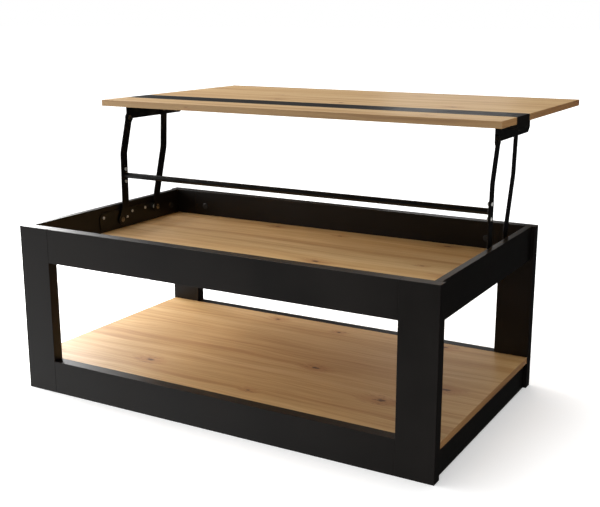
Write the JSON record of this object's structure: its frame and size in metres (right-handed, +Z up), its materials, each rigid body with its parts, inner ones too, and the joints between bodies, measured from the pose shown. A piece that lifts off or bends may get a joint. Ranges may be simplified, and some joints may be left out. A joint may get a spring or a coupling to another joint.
{
  "type": "lift top coffee table",
  "caption": "Rectangular coffee table with black board legs and rails, an oak shelf, a storage compartment and an oak top that swings up and to the rear on steel parallel arms.",
  "frame": {"origin": "on the floor, at the middle of the base's footprint", "axes": "+X to the right along the table's width, +Y to the rear, the way the top swings, +Z up"},
  "size_m": [1.1, 0.9607, 0.7005],
  "materials": {
    "black_board": "satin black melamine board with fine texture",
    "oak_board": "matt oak decor board with knots and dark streaks along its length",
    "black_steel": "black powder coat, semi-gloss",
    "zinc_steel": "bright zinc plate",
    "beech_dowel": "raw fluted beech",
    "nylon": "natural nylon",
    "black_plastic": "black moulded cover caps"
  },
  "bodies": {
    "base": {"front_left_leg": "black_board", "front_right_leg": "black_board", "rear_left_leg": "black_board", "rear_right_leg": "black_board", "front_top_rail": "black_board", "rear_top_rail": "black_board", "front_bottom_rail": "black_board", "rear_bottom_rail": "black_board", "left_top_rail": "black_board", "right_top_rail": "black_board", "left_bottom_rail": "black_board", "right_bottom_rail": "black_board", "shelf_panel": "oak_board", "storage_floor": "oak_board", "frame_dowels": "beech_dowel", "frame_cam_bolts": "zinc_steel", "frame_cam_locks": "zinc_steel", "frame_cam_caps": "black_plastic", "panel_dowels": "beech_dowel", "left_lower_bracket": "black_steel", "right_lower_bracket": "black_steel", "lower_bracket_screws": "zinc_steel", "lower_front_pivots": "zinc_steel", "lower_rear_pivots": "zinc_steel", "front_arm_spacers": "nylon", "rear_arm_spacers": "nylon", "arm_stop_pins": "zinc_steel"},
    "lift_arms": {"left_front_arm": "black_steel", "right_front_arm": "black_steel", "arm_crossbar": "black_steel", "crossbar_bolts": "zinc_steel", "crossbar_nuts": "zinc_steel"},
    "left_rear_arm": {"left_rear_arm": "black_steel"},
    "right_rear_arm": {"right_rear_arm": "black_steel"},
    "tabletop": {"narrow_top_board": "oak_board", "top_centre_strip": "black_board", "wide_top_board": "oak_board", "top_dowels": "beech_dowel", "left_upper_bracket": "black_steel", "right_upper_bracket": "black_steel", "upper_bracket_screws": "zinc_steel", "upper_front_pivots": "zinc_steel", "upper_rear_pivots": "zinc_steel"}
  },
  "joints": [
    {"name": "lift", "type": "hinge", "parent": "base", "child": "lift_arms", "pos_m": [0, 0.0295, 0.3744], "axis": [1, 0, 0], "range_deg": [0, 94.8]},
    {"name": "top_tilt", "type": "hinge", "parent": "lift_arms", "child": "tabletop", "pos_m": [0, 0.07299, 0.64898], "axis": [1, 0, 0], "range_deg": [-94.8, 0]},
    {"name": "left_rear_arm_swing", "type": "hinge", "parent": "base", "child": "left_rear_arm", "pos_m": [-0.526, 0.1765, 0.387], "axis": [1, 0, 0], "range_deg": [0, 94.8]},
    {"name": "right_rear_arm_swing", "type": "hinge", "parent": "base", "child": "right_rear_arm", "pos_m": [0.526, 0.1765, 0.387], "axis": [1, 0, 0], "range_deg": [0, 94.8]}
  ],
  "couplings": [
    {"joint": "top_tilt", "follows": "lift", "ratio": -1},
    {"joint": "left_rear_arm_swing", "follows": "lift", "ratio": 1},
    {"joint": "right_rear_arm_swing", "follows": "lift", "ratio": 1}
  ]
}
